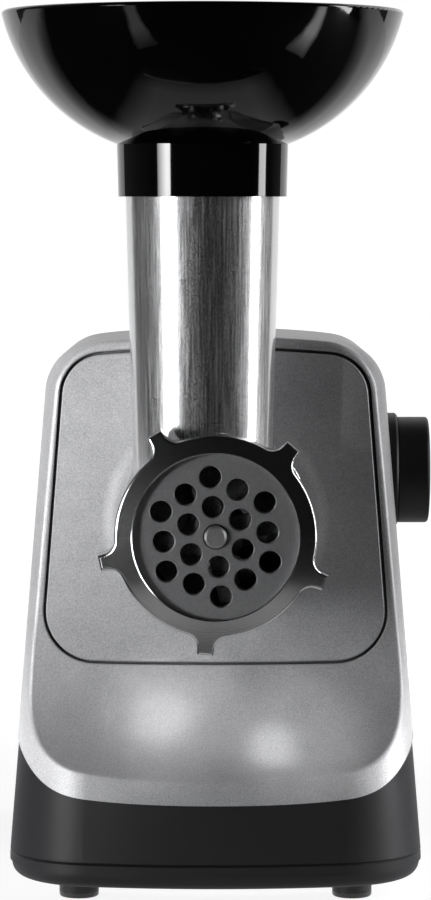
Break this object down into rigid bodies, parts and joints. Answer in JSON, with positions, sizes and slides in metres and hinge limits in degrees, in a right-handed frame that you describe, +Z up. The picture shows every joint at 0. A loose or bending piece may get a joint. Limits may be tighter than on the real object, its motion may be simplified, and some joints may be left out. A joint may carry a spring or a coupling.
{
  "type": "electric meat grinder",
  "caption": "Upright electric meat grinder: round hopper tray on a cast feed tube, barrel with lugged ring nut and hole plate, tapered silver housing on a dark base, side knob.",
  "frame": {"origin": "on the table plane under the feet, at the centre of the bounding box seen from above", "axes": "+Z up, the grinding head points to -Y, +X is to the right of a person facing the head"},
  "size_m": [0.163, 0.2768, 0.3366],
  "materials": {
    "silver_paint": "satin metallic paint with a fine grain",
    "charcoal_plastic": "fine spark-eroded texture",
    "black_gloss": "polished",
    "black_rubber": "moulded",
    "cast_aluminium": "tumbled, satin",
    "cutting_steel": "ground",
    "machine_steel": "turned",
    "core_steel": "stacked laminations",
    "sintered_bronze": "plain",
    "copper_wire": "enamelled wire",
    "gear_nylon": "moulded",
    "case_plastic": "moulded",
    "carbon": "pressed graphite"
  },
  "bodies": {
    "body": {"front_shell": "silver_paint", "rear_shell": "silver_paint", "front_panel": "silver_paint", "base_tub": "charcoal_plastic", "bottom_cover": "charcoal_plastic", "knob_bezel": "charcoal_plastic", "cord_inlet": "charcoal_plastic", "rubber_feet": "black_rubber", "head_socket": "cast_aluminium", "idler_pin": "machine_steel", "motor_bolts": "machine_steel", "cover_screws": "machine_steel", "motor_spacers": "machine_steel", "stator_core": "core_steel", "output_bush": "sintered_bronze", "rear_bush": "sintered_bronze", "motor_bearings": "sintered_bronze", "field_coils": "copper_wire", "gear_case": "case_plastic", "gear_lid": "case_plastic", "rotary_switch": "case_plastic", "brush_holders": "case_plastic", "motor_bracket": "case_plastic", "carbon_brushes": "carbon"},
    "drive": {"output_shaft": "machine_steel", "output_gear": "gear_nylon", "drive_shank": "cutting_steel", "auger": "cast_aluminium", "auger_pin": "cutting_steel", "cutting_blade": "cutting_steel"},
    "idler": {"idler_gear": "gear_nylon"},
    "motor": {"motor_shaft": "machine_steel", "motor_pinion": "machine_steel", "rotor_core": "core_steel", "rotor_winding": "copper_wire", "commutator": "copper_wire", "cooling_fan": "gear_nylon"},
    "head": {"grinder_head": "cast_aluminium", "auger_bush": "sintered_bronze"},
    "plate": {"hole_plate": "cutting_steel"},
    "nut": {"ring_nut": "cast_aluminium"},
    "hopper": {"hopper_tray": "black_gloss"},
    "knob": {"control_knob": "charcoal_plastic"}
  },
  "joints": [
    {"name": "drive_spin", "type": "hinge", "parent": "body", "child": "drive", "pos_m": [0, 0, 0.1453], "axis": [0, 1, 0], "continuous": true},
    {"name": "idler_spin", "type": "hinge", "parent": "body", "child": "idler", "pos_m": [-0.022, 0, 0.10096], "axis": [0, 1, 0], "continuous": true},
    {"name": "motor_spin", "type": "hinge", "parent": "body", "child": "motor", "pos_m": [0, 0, 0.07717], "axis": [0, 1, 0], "continuous": true},
    {"name": "head_turn", "type": "hinge", "parent": "body", "child": "head", "pos_m": [0, 0, 0.1453], "axis": [0, 1, 0], "range_deg": [0, 40]},
    {"name": "plate_slide", "type": "slide", "parent": "head", "child": "plate", "axis": [0, -1, 0], "range_m": [0, 0.0075]},
    {"name": "nut_turn", "type": "hinge", "parent": "plate", "child": "nut", "pos_m": [0, 0, 0.1453], "axis": [0, -1, 0], "range_deg": [0, 1080]},
    {"name": "hopper_lift", "type": "slide", "parent": "head", "child": "hopper", "axis": [0, 0, 1], "range_m": [0, 0.03]},
    {"name": "knob_turn", "type": "hinge", "parent": "body", "child": "knob", "pos_m": [0.0716, 0.018, 0.1608], "axis": [1, 0, 0], "range_deg": [-45, 45]}
  ],
  "couplings": [
    {"joint": "idler_spin", "follows": "drive_spin", "ratio": -4.5},
    {"joint": "motor_spin", "follows": "drive_spin", "ratio": 22.5},
    {"joint": "plate_slide", "follows": "nut_turn", "m_per_rad": 0.00039789}
  ]
}
